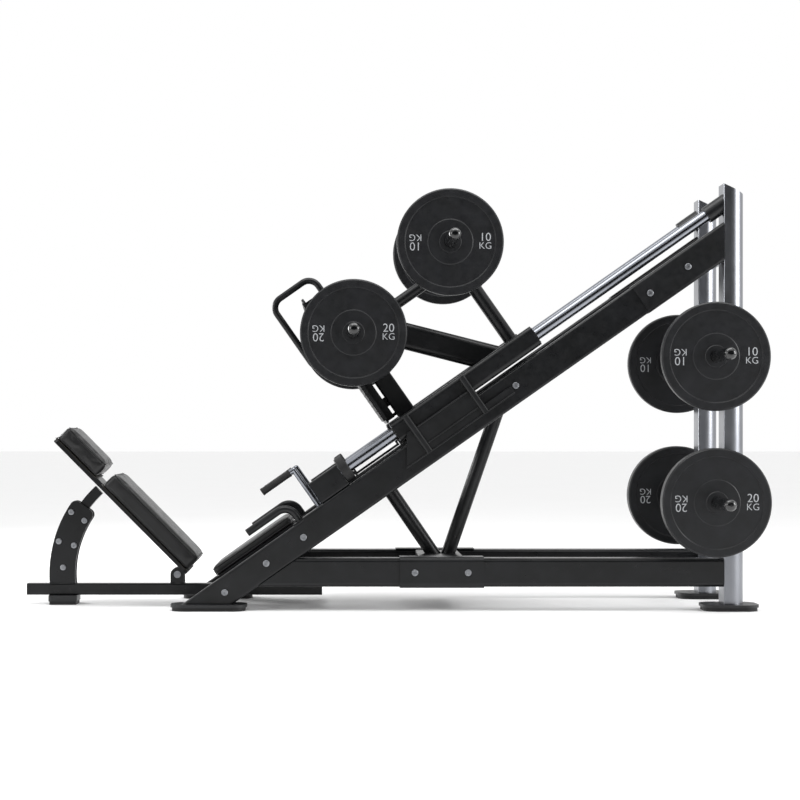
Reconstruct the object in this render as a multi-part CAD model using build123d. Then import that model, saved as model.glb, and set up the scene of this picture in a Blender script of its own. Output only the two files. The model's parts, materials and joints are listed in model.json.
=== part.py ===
"""Plate-loaded inclined leg press: a sled on two guide rods, a reclining bench and plate storage.

Millimetres, +Z up, X along the machine from the bench to the uprights, Y across it.
Right is -Y: the side of the user's right hand when lying on the bench and facing +X.
Two working frames are used. The rail frame has u up the slope, y across and v square to the
slope, with v = 0 at the underside of the rails. The back frame has its origin on the bench
hinge, a up the backrest and b square to it, towards the user.
"""
import os
from math import cos, radians, sin, tan

from build123d import *

# ---- Rails -------------------------------------------------------------------------------
SLOPE_DEG = 35.0                 # angle of the rails to the floor
RAIL_Z0 = 342.4                  # height of the rails' underside at X = 0
RAIL_OUT, RAIL_IN = 350.0, 270.0  # outer and inner faces of a rail, from the middle plane
RAIL_DEPTH, LEG_DEPTH = 128.0, 120.0
RAIL_ROUND, BASE_ROUND = 10.0, 16.0      # outer corner radii of the rails and base beams
RAIL_MID = (RAIL_OUT + RAIL_IN) / 2
LEG_END_U = -100.0               # where the front leg meets the rail beam
WALL = 4.0                       # tube wall
ROD_R, ROD_V = 25.0, 194.0       # guide rod radius, and its axis above the underside

# ---- Base and uprights -------------------------------------------------------------------
BASE_IN, BASE_Z0, BASE_Z1 = 250.0, 100.0, 220.0
BASE_X0 = -360.0
UPRIGHT_X0, UPRIGHT_X1, UPRIGHT_IN = 1604.0, 1694.0, 230.0
UPRIGHT_TOP, UPRIGHT_CUT_DEG, UPRIGHT_BACK_R = 1787.0, 25.0, 59.0
FOOT_STEEL_Z, FOOT_TOP_Z = 15.0, 27.0
SADDLE_X0, SADDLE_X1, SADDLE_T = 250.0, 602.0, 5.0

# ---- Weight plates and horns -------------------------------------------------------------
PLATE_R, PLATE_BORE_R = 225.0, 25.2
PLATE_T = {10: 45.0, 20: 65.0}
HORN_R, HORN_DOME = 24.75, 20.0
GROOVE_W, GROOVE_D, GROOVE_OFF = 2.0, 0.6, 8.0
STORE_X, STORE_Z = 1547.0, {10: 1059.0, 20: 457.0}
STORE_PLATE_Y, STORE_TIP_Y, STORE_PAD_T = 438.0, 792.0, 10.0
SLED_HORN = {20: (518.0, 641.0), 10: (1071.0, 721.0)}   # u, v of each sled horn
SLED_PLATE_Y, SLED_TIP_Y = 262.0, 655.0

# ---- Sled --------------------------------------------------------------------------------
HOUSE_U0, HOUSE_U1, HOUSE = 420.0, 1135.0, 90.0          # bearing housings
BUSH_R, BUSH_L, RUNNING = 32.0, 80.0, 0.05
SLED_V0, SLED_V1 = 154.0, 234.0                          # cross tubes and spine
FRONT_POST_U = (478.0, 558.0)
REAR_POST_U = 1071.0
FOOTPLATE_U0, FOOTPLATE_T, FOOTPLATE_HALF = 418.0, 10.0, 250.0
FOOTPLATE_V = (246.0, 885.0)
PANEL_OUT, PANEL_T, PANEL_POST_T = 372.0, 6.0, 12.0
TONGUE_U0, BUMPER_R = 182.0, 58.0                        # stop tongues end 2 mm from the bumpers
BRACE_ROUND = 26.0

# ---- Bench -------------------------------------------------------------------------------
BENCH_X0, BENCH_X1, BENCH_Z0, BENCH_Z1, BENCH_HALF = -1360.0, -78.0, 40.0, 90.0, 30.0
HINGE_X, HINGE_Z = -706.0, 129.0
BACK_DEG = 134.8                 # direction of the backrest from the hinge, from +X
EAR_R, EAR_Y0, EAR_Y1 = 30.0, 20.0, 30.0
HINGE_PIN_R = 10.0
ARC_R0, ARC_R1 = 479.0, 524.0    # curved tongue of the backrest
ARC_HALF = 16.0
SECTOR_R0, SECTOR_R1 = 444.0, 556.0
SECTOR_END_DEG, SECTOR_ROUND = 36.5, 26.0
SECTOR_BOLTS = [(466.0, 30.1), (534.0, 30.5), (466.0, 15.7), (534.0, 15.6), (497.0, 3.5)]
TONGUE_DEG = (4.6, 43.0)
PULL_R, PULL_DEG, INDEX_DEG = 500.0, 23.0, 6.0
BACK_FRAME_B = (32.0, 54.0)
PAD_B0, PAD_T = 56.0, 79.0
MAIN_PAD_A, MAIN_PAD_HALF = (-30.0, 507.0), 180.0
HEAD_PAD_A, HEAD_PAD_HALF = (535.0, 788.0), 150.0

# ---- Seat, handles, safety lever ---------------------------------------------------------
SEAT_U, SEAT_V, SEAT_HALF = (-560.0, -145.0), (128.0, 172.0), 200.0
HANDLE_R, HANDLE_U, HANDLE_V, HANDLE_BEND = 16.0, (-330.0, -119.0), 208.0, 55.0
LEVER_U, LEVER_V0, LEVER_V1, LEVER_Y, LEVER_R = -20.0, 90.0, 312.0, 238.0, 12.0
GRIP_R, GRIP_L = 17.0, 145.0

# ---- The part's own frame ----------------------------------------------------------------
CENTRE_X = (BENCH_X0 + STORE_X + PLATE_R) / 2

C, S = cos(radians(SLOPE_DEG)), sin(radians(SLOPE_DEG))
RAIL = Plane(origin=(0, 0, RAIL_Z0), x_dir=(C, 0, S), z_dir=(-S, 0, C)).location
BACK_C, BACK_S = cos(radians(BACK_DEG)), sin(radians(BACK_DEG))
BACK = Plane(origin=(HINGE_X, 0, HINGE_Z), x_dir=(BACK_C, 0, BACK_S), z_dir=(BACK_S, 0, -BACK_C)).location
nodes = {}


def block(x0, x1, y0, y1, z0, z1):
    """Box between two corners."""
    return Pos((x0 + x1) / 2, (y0 + y1) / 2, (z0 + z1) / 2) * Box(x1 - x0, y1 - y0, z1 - z0)


def soft_block(x0, x1, y0, y1, z0, z1, along, radius):
    """Box with its long edges rounded."""
    solid = block(x0, x1, y0, y1, z0, z1)
    return fillet(solid.edges().filter_by(along), radius)


def tube(x0, x1, y0, y1, z0, z1, along, wall=WALL, radius=8.0):
    """Rectangular tube with rounded corners, open along one axis."""
    over = 1.0
    inner = {
        Axis.X: (x0 - over, x1 + over, y0 + wall, y1 - wall, z0 + wall, z1 - wall),
        Axis.Y: (x0 + wall, x1 - wall, y0 - over, y1 + over, z0 + wall, z1 - wall),
        Axis.Z: (x0 + wall, x1 - wall, y0 + wall, y1 - wall, z0 - over, z1 + over),
    }[along]
    return soft_block(x0, x1, y0, y1, z0, z1, along, radius) - block(*inner)


def bar(start, end, radius, bore=0.0):
    """Round bar or tube from one point to another."""
    p, q = Vector(*start), Vector(*end)
    length = (q - p).length
    shape = Cylinder(radius, length)
    if bore:
        shape -= Cylinder(bore, length + 2)
    return Plane(origin=p, z_dir=(q - p).normalized()).location * Pos(0, 0, length / 2) * shape


def y_bar(x, z, radius, y0, y1, bore=0.0):
    """Round bar or tube along Y."""
    return bar((x, min(y0, y1), z), (x, max(y0, y1), z), radius, bore)


def bent_bar(points, radius, bend):
    """Round bar along a path with rounded corners."""
    path = FilletPolyline(*points, radius=bend)
    start, ahead = path @ 0, path % 0
    return sweep(Plane(origin=start, z_dir=ahead) * Circle(radius), path=path)


def pair(solid):
    """A right-hand solid and its mirror image."""
    return [solid, mirror(solid, about=Plane.XZ)]


def keep(name, *solids):
    """Add a node, moved into the part's own frame."""
    whole = [Pos(-CENTRE_X, 0, 0) * s for shape in solids for s in shape.solids()]
    nodes[name] = whole[0] if len(whole) == 1 else Compound(children=whole)


def polar(radius, degrees):
    """Point of the bench's arc, X and Z, measured from the hinge."""
    return HINGE_X - radius * cos(radians(degrees)), HINGE_Z + radius * sin(radians(degrees))


def horn(x, z, y_start, y_tip, groove_y):
    """Loading horn towards -Y with a domed end, and a groove outside the stored plate."""
    body = y_bar(x, z, HORN_R, -y_start, -y_tip)
    body = fillet(body.faces().sort_by(Axis.Y)[0].edges(), HORN_DOME)
    ring = y_bar(x, z, HORN_R + 5, -groove_y, -groove_y - GROOVE_W, HORN_R - GROOVE_D)
    return body - ring


def weight_plate(thickness):
    """Rubber plate about the Y axis, from y = 0 to -thickness, with a rim and hub ring on each face."""
    dish, hub = 4.0, 2.0
    inner = [
        (PLATE_BORE_R, 0), (44, 0), (47, -hub), (93, -hub), (97, -dish), (188, -dish), (193, 0),
        (PLATE_R - 6, 0), (PLATE_R, -6),
    ]
    outer = [(r, -thickness - y) for r, y in reversed(inner[2:])]
    profile = inner + outer + [(44, -thickness - 1), (PLATE_BORE_R, -thickness - 1)]
    face = make_face(Polyline(*profile, close=True))
    return revolve(face, axis=Axis.Y)


def rails():
    """Front legs, rail beams, sleeves at the uprights, guide rods and their blocks."""
    far = 2300.0
    leg = RAIL * tube(-900, LEG_END_U, -RAIL_OUT, -RAIL_IN, 0, LEG_DEPTH, Axis.X, WALL, RAIL_ROUND)
    leg -= block(-2000, 1000, -500, 500, -2000, FOOT_TOP_Z)
    keep("front_legs", *pair(leg))
    beam = RAIL * tube(LEG_END_U, far, -RAIL_OUT, -RAIL_IN, 0, RAIL_DEPTH, Axis.X, WALL, RAIL_ROUND)
    beam -= block(UPRIGHT_X0, far + 500, -500, 500, 0, 3000)
    keep("rail_beams", *pair(beam))
    sleeve_u, sleeve_t = 1578.0, 3.0
    sleeve = soft_block(
        sleeve_u, far, -RAIL_OUT - sleeve_t, -RAIL_IN + 20, -sleeve_t, RAIL_DEPTH + sleeve_t, Axis.X,
        RAIL_ROUND + sleeve_t)
    sleeve -= block(sleeve_u - 1, far + 1, -RAIL_IN, 0, -50, RAIL_DEPTH + 50)
    sleeve -= soft_block(sleeve_u - 1, far + 1, -RAIL_OUT, -RAIL_IN + 30, 0, RAIL_DEPTH, Axis.X, RAIL_ROUND)
    sleeve = RAIL * sleeve - block(UPRIGHT_X0, far + 500, -500, 500, 0, 3000)
    keep("rail_sleeves", *pair(sleeve))
    rod = RAIL * bar((40, -RAIL_MID, ROD_V), (far, -RAIL_MID, ROD_V), ROD_R)
    rod -= block(UPRIGHT_X0, far + 500, -500, 500, 0, 3000)
    keep("guide_rods", *pair(rod))
    block_low = soft_block(0, 138, -RAIL_OUT + 5, -RAIL_IN - 5, RAIL_DEPTH, ROD_V + 36, Axis.X, 10)
    block_low -= bar((40, -RAIL_MID, ROD_V), (200, -RAIL_MID, ROD_V), ROD_R)
    bumper = bar((140, -RAIL_MID, ROD_V), (180, -RAIL_MID, ROD_V), BUMPER_R, ROD_R)
    bumper = fillet(bumper.edges().filter_by(GeomType.CIRCLE).group_by(SortBy.RADIUS)[-1], 6)
    keep("lower_bumpers", *pair(RAIL * bumper))
    socket = bar((2012, -RAIL_MID, ROD_V), (far, -RAIL_MID, ROD_V), 36, ROD_R)
    socket = RAIL * socket - block(UPRIGHT_X0, far + 500, -500, 500, 0, 3000)
    keep("rod_supports", *pair(RAIL * block_low), *pair(socket))


def round_back(inset):
    """Outline of the right upright, flat towards the bench and round at the back, set in all round."""
    x0, x1 = UPRIGHT_X0 + inset, UPRIGHT_X1 - inset
    over = 1.0 if inset else 0.0
    z0, z1 = FOOT_TOP_Z - over, UPRIGHT_TOP + over
    solid = block(x0, x1, -RAIL_OUT + inset, -UPRIGHT_IN - inset, z0, z1)
    uprights = solid.edges().filter_by(Axis.Z).sort_by(Axis.X)
    solid = fillet(uprights[2:], UPRIGHT_BACK_R - inset)
    return solid if inset else fillet(solid.edges().filter_by(Axis.Z).sort_by(Axis.X)[:2], 6)


def base():
    """Base beams, uprights, cross members, V struts and feet."""
    slope_cut = RAIL * block(-1500, 3000, -500, 500, 0, 1500)
    beam = tube(BASE_X0, UPRIGHT_X0, -RAIL_OUT, -BASE_IN, BASE_Z0, BASE_Z1, Axis.X, WALL, BASE_ROUND)
    keep("base_beams", *pair(beam - slope_cut))
    outline = round_back(0)
    upright = outline - round_back(WALL)
    top = Plane(origin=(UPRIGHT_X0, 0, UPRIGHT_TOP), z_dir=(tan(radians(UPRIGHT_CUT_DEG)), 0, 1))
    keep("uprights", *pair(upright - top.location * Pos(0, 0, 100) * Box(400, 900, 200)))
    saddle = soft_block(
        SADDLE_X0, SADDLE_X1, -RAIL_OUT - SADDLE_T, -BASE_IN + 30, BASE_Z0 - SADDLE_T, BASE_Z1 + SADDLE_T,
        Axis.X, BASE_ROUND + SADDLE_T)
    saddle -= block(SADDLE_X0 - 1, SADDLE_X1 + 1, -BASE_IN, 0, 0, 400)
    saddle -= soft_block(
        SADDLE_X0 - 1, SADDLE_X1 + 1, -RAIL_OUT, -BASE_IN + 40, BASE_Z0, BASE_Z1, Axis.X, BASE_ROUND)
    keep("base_saddles", *pair(saddle))
    mid = tube(336, 526, -BASE_IN, BASE_IN, 120, BASE_Z1, Axis.Y)
    keep("mid_cross_beam", mid)
    low_u, high_u, half = 265.0, 868.0, 40.0
    ties = [tube(u - half, u + half, -RAIL_IN, RAIL_IN, 0, 2 * half, Axis.Y) for u in (low_u, high_u)]
    keep("rail_ties", *[RAIL * tie for tie in ties])
    above = RAIL * block(-500, 3000, -500, 500, 0, 500)
    below = block(-500, 2000, -500, 500, -100, BASE_Z1)
    low_top = (RAIL * Pos(low_u, 0, 30)).position
    high_top = (RAIL * Pos(high_u, 0, 30)).position
    rear = bar((457, 0, 180), tuple(high_top), 30) - above - below
    front = bar((432, 0, 180), tuple(low_top), 30) - above - below - bar((457, 0, 180), tuple(high_top), 30)
    keep("v_struts", rear, front)
    x0, x1 = UPRIGHT_X0 + 10, UPRIGHT_X1 - 10
    cross = [tube(x0, x1, -RAIL_MID, RAIL_MID, z, z + 80, Axis.Y) for z in (110, 1480)]
    keep("rear_cross_beams", *[shape - pair(outline) for shape in cross])
    feet, pads = [], []
    for x0, x1, y0, y1 in ((-710, -390, 230, 390), (1515, 1752, 205, 395)):
        for side in (-1, 1):
            ends = sorted((side * y0, side * y1))
            feet.append(soft_block(x0, x1, *ends, FOOT_STEEL_Z, FOOT_TOP_Z, Axis.Z, 60))
            pads.append(soft_block(x0 + 6, x1 - 6, ends[0] + 6, ends[1] - 6, 0, FOOT_STEEL_Z, Axis.Z, 54))
    bench_foot = soft_block(-1262, -1138, -70, 70, FOOT_STEEL_Z, BENCH_Z0, Axis.Z, 12)
    pads.append(soft_block(-1258, -1142, -66, 66, 0, FOOT_STEEL_Z, Axis.Z, 10))
    keep("floor_plates", *feet, bench_foot)
    keep("rubber_feet", *pads)


def bolts():
    """Button-head bolts on both outer faces, one group of equal solids."""
    head_r, head_h = 14.0, 6.0
    places = [(RAIL * Pos(u, 0, v)).position for u, v in ((-547, 59), (-335, 59), (-145, 59))]
    places += [(RAIL * Pos(945, 0, 70)).position]
    heads = [(p.X, p.Z, RAIL_OUT) for p in places]
    heads += [(p.X, p.Z, RAIL_OUT + 3) for p in ((RAIL * Pos(u, 0, 64)).position for u in (1626, 1819))]
    heads += [(x, (BASE_Z0 + BASE_Z1) / 2, RAIL_OUT + SADDLE_T) for x in (313, 535)]
    group = []
    for x, z, face in heads:
        head = y_bar(x, z, head_r, -face, -face - head_h)
        head = fillet(head.faces().sort_by(Axis.Y)[0].edges(), 4)
        group += pair(head)
    keep("frame_bolts", *group)


def storage():
    """Storage brackets and horns on the uprights, with their plates."""
    horns = []
    for weight, z in STORE_Z.items():
        outer = STORE_PLATE_Y + PLATE_T[weight] + GROOVE_OFF
        arm = horn(STORE_X, z, RAIL_OUT + STORE_PAD_T, STORE_TIP_Y, outer)
        arm += y_bar(STORE_X, z, 38, -RAIL_OUT - STORE_PAD_T, -STORE_PLATE_Y + 1)
        arm += block(1482, UPRIGHT_X0 + 40, -RAIL_OUT - STORE_PAD_T, -RAIL_OUT, z - 65, z + 65)
        horns += pair(arm)
        plate = Pos(STORE_X, -STORE_PLATE_Y, z) * weight_plate(PLATE_T[weight])
        for side, shape in zip(("right", "left"), pair(plate)):
            keep(f"stored_plate_{weight}_{side}", shape)
    keep("storage_horns", *horns)


def sled():
    """Bearing housings, frame, footplate, horns and plates that ride on the guide rods."""
    mid, half = RAIL_MID, HOUSE / 2
    shell = soft_block(HOUSE_U0, HOUSE_U1, -mid - half, -mid + half, ROD_V - half, ROD_V + half, Axis.X, 20)
    house = shell - bar((HOUSE_U0 - 1, -mid, ROD_V), (HOUSE_U1 + 1, -mid, ROD_V), BUSH_R)
    keep("bearing_housings", *pair(RAIL * house))
    bushes = []
    for u0 in (HOUSE_U0, HOUSE_U1 - BUSH_L):
        bush = RAIL * bar((u0, -mid, ROD_V), (u0 + BUSH_L, -mid, ROD_V), BUSH_R, ROD_R + RUNNING)
        bushes += pair(bush)
    keep("linear_bushes", *bushes)
    outline = [(371, 45), (925, 45), (925, 80), (792, 80), (792, 169), (458, 169)]
    skin = extrude(Plane.XZ * make_face(Polyline(*outline, close=True)), amount=PANEL_T)
    panel = Pos(0, -PANEL_OUT + PANEL_T, 0) * skin
    for u0 in (478.0, 764.0):
        post = soft_block(u0, u0 + 28, -PANEL_OUT - PANEL_POST_T, -PANEL_OUT + 20, 50, 232, Axis.Z, 9)
        panel += post - block(u0 - 1, u0 + 29, -PANEL_OUT, 0, 0, 300)
        panel += block(u0, u0 + 28, -PANEL_OUT, -mid - half, 171, 226)
    keep("side_panels", *pair(RAIL * panel))
    tongue = block(TONGUE_U0, HOUSE_U0, -mid - 14, -mid + 14, 131, 141)
    for u0 in (TONGUE_U0, HOUSE_U0 - 10):
        tongue += block(u0, u0 + 10, -mid - 14, -mid + 14, 131, 164)
    keep("stop_tongues", *pair(RAIL * tongue))
    f0, f1 = FRONT_POST_U
    r0, r1 = REAR_POST_U - 40, REAR_POST_U + 40
    cross = [tube(a, b, -mid, mid, SLED_V0, SLED_V1, Axis.Y) for a, b in ((f0, f1), (r0, r1))]
    keep("sled_cross_tubes", *[RAIL * (shape - pair(shell)) for shape in cross])
    keep("sled_spine", RAIL * tube(f1, r0, -40, 40, SLED_V0, SLED_V1, Axis.X))
    post_top = 700.0
    lower_u, lower_v = SLED_HORN[20]
    upper_u, upper_v = SLED_HORN[10]
    front_post = tube(f0, f1, -40, 40, SLED_V1, post_top, Axis.Z)
    front_post -= y_bar(lower_u, lower_v, 32, -60, 60)
    rear_post = bar((REAR_POST_U, 0, SLED_V1), (REAR_POST_U, 0, upper_v - 32), 30, 26)
    rear_post -= y_bar(upper_u, upper_v, 32, -60, 60)
    keep("sled_posts", RAIL * front_post, RAIL * rear_post)
    along = Plane(origin=(948, 0, SLED_V1 - 5), z_dir=(-390, 0, 452)).location * Pos(0, 0, 320)
    outer = soft_block(-58, 58, -30, 30, -380, 380, Axis.Z, BRACE_ROUND)
    brace = along * (outer - soft_block(-54, 54, -26, 26, -381, 381, Axis.Z, BRACE_ROUND - WALL))
    outside = block(0, 2000, -100, 100, 0, SLED_V1) + block(0, f1, -100, 100, 0, 1200)
    tie = bar((f1, 0, 648), (REAR_POST_U, 0, 648), 25, 21)
    tie -= bar((REAR_POST_U, 0, SLED_V1), (REAR_POST_U, 0, upper_v), 30) + along * outer
    keep("sled_braces", RAIL * (brace - outside), RAIL * tie.solids().sort_by(SortBy.VOLUME)[-1])
    horns = []
    for weight, (u, v) in SLED_HORN.items():
        side = horn(u, v, 0, SLED_TIP_Y, SLED_PLATE_Y + PLATE_T[weight] + GROOVE_OFF)
        side += y_bar(u, v, 32, 0, -SLED_PLATE_Y + 12)
        side += y_bar(u, v, 60, -SLED_PLATE_Y + 12, -SLED_PLATE_Y + 1)
        horns.append(RAIL * (side + mirror(side, about=Plane.XZ)))
        plate = RAIL * Pos(u, -SLED_PLATE_Y, v) * weight_plate(PLATE_T[weight])
        for name, shape in zip(("right", "left"), pair(plate)):
            keep(f"sled_plate_{weight}_{name}", shape)
    keep("sled_horns", *horns)
    footplate()


def footplate():
    """Footplate with its ribs, mat, mounting spacers and the grab loop over its top edge."""
    u0, u1 = FOOTPLATE_U0, FOOTPLATE_U0 + FOOTPLATE_T
    v0, v1 = FOOTPLATE_V
    keep("footplate", RAIL * soft_block(u0, u1, -FOOTPLATE_HALF, FOOTPLATE_HALF, v0, v1, Axis.X, 25))
    rib_u = FRONT_POST_U[0] - 16
    ribs = [block(u1, rib_u, y - 20, y + 20, v0 + 5, v1 - 15) for y in (-120, 0, 120)]
    gaps = [(252, 266), (302, 345), (425, 520), (600, 690)]
    ribs += [block(rib_u, FRONT_POST_U[0], -20, 20, a, b) for a, b in gaps]
    joined = ribs[0] + ribs[1] + ribs[2] + ribs[3:]
    keep("footplate_ribs", RAIL * joined)
    loop_slot = block(u0 - 20, u0 + 1, -22, 22, 570, 640)
    mat = soft_block(u0 - 6, u0, -235, 235, v0 + 15, v1 - 15, Axis.X, 20) - loop_slot
    keep("footplate_mat", RAIL * mat)
    corner = 50.0
    points = [(520, 0, 700), (520, 0, 958), (302, 0, 958), (302, 0, 605), (u0, 0, 605)]
    keep("grab_loop", RAIL * bent_bar(points, 14, corner))


def bench():
    """Bench beam, cross tubes, sector plates, hinge, backrest with its tongue, and pads."""
    beam = tube(BENCH_X0, BENCH_X1, -BENCH_HALF, BENCH_HALF, BENCH_Z0, BENCH_Z1, Axis.X, 3.0, 6.0)
    keep("bench_beam", beam)
    front = tube(-462, -402, -RAIL_IN, RAIL_IN, BENCH_Z1, BENCH_Z1 + 60, Axis.Y)
    rear = tube(-160, -100, -BASE_IN, BASE_IN, BENCH_Z1, BENCH_Z1 + 60, Axis.Y)
    keep("bench_cross_tubes", front, rear)
    inner, outer = Circle(SECTOR_R0), Circle(SECTOR_R1)
    ring = Pos(HINGE_X, HINGE_Z) * (outer - inner)
    wedge = Polyline(
        (HINGE_X, HINGE_Z), polar(900, SECTOR_END_DEG), polar(900, -8), (HINGE_X, HINGE_Z - 300), close=True
    )
    outline = ring & make_face(wedge)
    outline = fillet(outline.vertices().sort_by(Axis.Y)[-2:], SECTOR_ROUND)
    slab = extrude(Plane.XZ * outline, amount=EAR_Y1 - EAR_Y0)
    floor_cut = block(-3000, 0, -500, 500, -500, BENCH_Z1)
    plate = Pos(0, -EAR_Y0, 0) * slab - floor_cut
    for radius, degrees in SECTOR_BOLTS:
        plate -= y_bar(*polar(radius, degrees), 8, -60, 60)
    far_plate = mirror(plate, about=Plane.XZ)
    pull_x, pull_z = polar(PULL_R, PULL_DEG)
    far_plate -= y_bar(pull_x, pull_z, 5.1, 0, 60)
    keep("sector_plates", plate, far_plate)
    pins = []
    for radius, degrees in SECTOR_BOLTS:
        x, z = polar(radius, degrees)
        pin = y_bar(x, z, 8, -EAR_Y1, EAR_Y1)
        for side in (-1, 1):
            pin += y_bar(x, z, 13, side * EAR_Y1, side * (EAR_Y1 + 6))
        pins.append(pin)
    keep("sector_bolts", *pins)
    ear = block(HINGE_X - EAR_R, HINGE_X + EAR_R, -EAR_Y1, -EAR_Y0, BENCH_Z1, HINGE_Z)
    ear += y_bar(HINGE_X, HINGE_Z, EAR_R, -EAR_Y1, -EAR_Y0)
    keep("hinge_ears", *pair(ear - y_bar(HINGE_X, HINGE_Z, HINGE_PIN_R, -60, 60)))
    pin = y_bar(HINGE_X, HINGE_Z, HINGE_PIN_R, -EAR_Y1, EAR_Y1)
    for side in (-1, 1):
        pin += y_bar(HINGE_X, HINGE_Z, 15, side * EAR_Y1, side * (EAR_Y1 + 6))
    keep("hinge_pin", pin)
    backrest(pull_x, pull_z)


def backrest(pull_x, pull_z):
    """Moving half of the bench, and the pull pin beside its tongue."""
    b0, b1 = BACK_FRAME_B
    knuckle = y_bar(0, 0, 24, -EAR_Y0 + 0.5, EAR_Y0 - 0.5)
    board = soft_block(-25, 786, -90, 90, b0, b1, Axis.Z, 20)
    lug = block(-18, 18, -EAR_Y0 + 0.5, EAR_Y0 - 0.5, 0, b0 + 1)
    frame = board + knuckle + lug - y_bar(0, 0, HINGE_PIN_R + RUNNING, -60, 60)
    keep("backrest_frame", BACK * frame)
    ring = Pos(HINGE_X, HINGE_Z) * (Circle(ARC_R1) - Circle(ARC_R0))
    low, high = TONGUE_DEG
    wedge = make_face(Polyline((HINGE_X, HINGE_Z), polar(900, low), polar(900, high + 4), close=True))
    tongue = Pos(0, ARC_HALF, 0) * extrude(Plane.XZ * (ring & wedge), amount=2 * ARC_HALF)
    tongue -= BACK * block(-200, 900, -100, 100, b0, 300)
    for step in range(3):
        tongue -= y_bar(*polar(PULL_R, PULL_DEG - INDEX_DEG * step), 5.3, -60, 60)
    keep("recline_tongue", tongue)
    for name, (a0, a1), half in (
        ("back_pad", MAIN_PAD_A, MAIN_PAD_HALF), ("head_pad", HEAD_PAD_A, HEAD_PAD_HALF)
    ):
        pad = soft_block(a0, a1, -half, half, PAD_B0, PAD_B0 + PAD_T, Axis.Z, 22)
        keep(name, BACK * fillet(pad.faces().sort_by(Axis.Z)[-1].edges(), 14))
    board_t = PAD_B0 - b1
    boards = [block(a0 + 6, a1 - 6, -h + 6, h - 6, b1, b1 + board_t) for (a0, a1), h in (
        (MAIN_PAD_A, MAIN_PAD_HALF), (HEAD_PAD_A, HEAD_PAD_HALF))]
    keep("pad_boards", *[BACK * board for board in boards])
    guide = y_bar(pull_x, pull_z, 13, EAR_Y1, EAR_Y1 + 26, 5.1)
    keep("pull_pin_guide", guide)
    pull = y_bar(pull_x, pull_z, 5, ARC_HALF + 2, EAR_Y1 + 42)
    pull += fillet(y_bar(pull_x, pull_z, 17, EAR_Y1 + 27, EAR_Y1 + 54).edges(), 4)
    keep("pull_pin", pull)


def seat():
    """Seat pad with its board and brackets, side handles and the safety lever."""
    u0, u1 = SEAT_U
    v0, v1 = SEAT_V
    pad = soft_block(u0, u1, -SEAT_HALF, SEAT_HALF, v0, v1, Axis.Z, 25)
    keep("seat_pad", RAIL * fillet(pad.faces().sort_by(Axis.Z)[-1].edges(), 10))
    keep("seat_board", RAIL * block(u0 + 8, u1 - 8, -SEAT_HALF + 8, SEAT_HALF - 8, v0 - 10, v0))
    carriers = [tube(u, u + 50, -RAIL_IN, RAIL_IN, 60, v0 - 10, Axis.Y) for u in (-360, -220)]
    keep("seat_carriers", *[RAIL * carrier for carrier in carriers])
    h0, h1 = HANDLE_U
    points = [(h1, -RAIL_MID, LEG_DEPTH + 6), (h1, -RAIL_MID, HANDLE_V), (h0, -RAIL_MID, HANDLE_V)]
    handle = bent_bar(points, HANDLE_R, HANDLE_BEND)
    foot = block(h1 - 32, LEG_END_U - 1, -RAIL_MID - 30, -RAIL_MID + 30, LEG_DEPTH, LEG_DEPTH + 6)
    keep("side_handles", *pair(RAIL * (handle + foot)))
    shaft = y_bar(LEVER_U, LEVER_V0, 10, -RAIL_IN + 13, RAIL_IN - 13)
    plates = []
    for side in (-1, 1):
        y0, y1 = sorted((side * RAIL_IN, side * (RAIL_IN - 12)))
        plate = block(LEVER_U - 25, LEVER_U + 25, y0, y1, LEVER_V0 - 25, LEVER_V0 + 25)
        plates.append(RAIL * plate)
    keep("lever_brackets", *plates)
    arm = bar((LEVER_U, -LEVER_Y, LEVER_V0), (LEVER_U, -LEVER_Y, LEVER_V1), LEVER_R)
    arm += y_bar(LEVER_U, LEVER_V0, 20, -LEVER_Y - 14, -LEVER_Y + 14)
    arm += bar((LEVER_U, -LEVER_Y, LEVER_V1), (LEVER_U - 20, -LEVER_Y, LEVER_V1), LEVER_R)
    arm += Pos(LEVER_U, -LEVER_Y, LEVER_V1) * Sphere(LEVER_R)
    keep("lever_arms", *pair(RAIL * (arm - y_bar(LEVER_U, LEVER_V0, 10, -400, 400))))
    grip = bar((LEVER_U - 20, -LEVER_Y, LEVER_V1), (LEVER_U - 20 - GRIP_L, -LEVER_Y, LEVER_V1), GRIP_R)
    grip = RAIL * fillet(grip.edges().filter_by(GeomType.CIRCLE), 4)
    keep("lever_grips", *pair(grip))
    cam = [(LEVER_U - 22, 70), (LEVER_U + 22, 70), (95, 105), (95, 128), (LEVER_U, 112), (LEVER_U - 22, 106)]
    for y in (-200.0, 210.0):
        shaft += Pos(0, y, 0) * extrude(Plane.XZ * make_face(Polyline(*cam, close=True)), amount=10)
    keep("lever_shaft", RAIL * shaft)


rails()
base()
bolts()
storage()
sled()
bench()
seat()
os.makedirs("parts", exist_ok=True)
for node_name, solid in nodes.items():
    export_step(solid, f"parts/{node_name}.step")
print(len(nodes), "nodes")
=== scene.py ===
"""Visual model of a plate-loaded inclined leg press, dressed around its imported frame.

Metres, +Z up, X along the machine from the bench to the uprights. The right side is -Y.
"""
import json
import logging
from collections.abc import Callable, Iterable, Iterator, Sequence
from contextlib import contextmanager
from dataclasses import dataclass, field
from enum import Enum
from math import cos, pi, radians, sin, tan

import bmesh
import bpy
import numpy as np
from mathutils import Matrix, Vector


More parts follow.
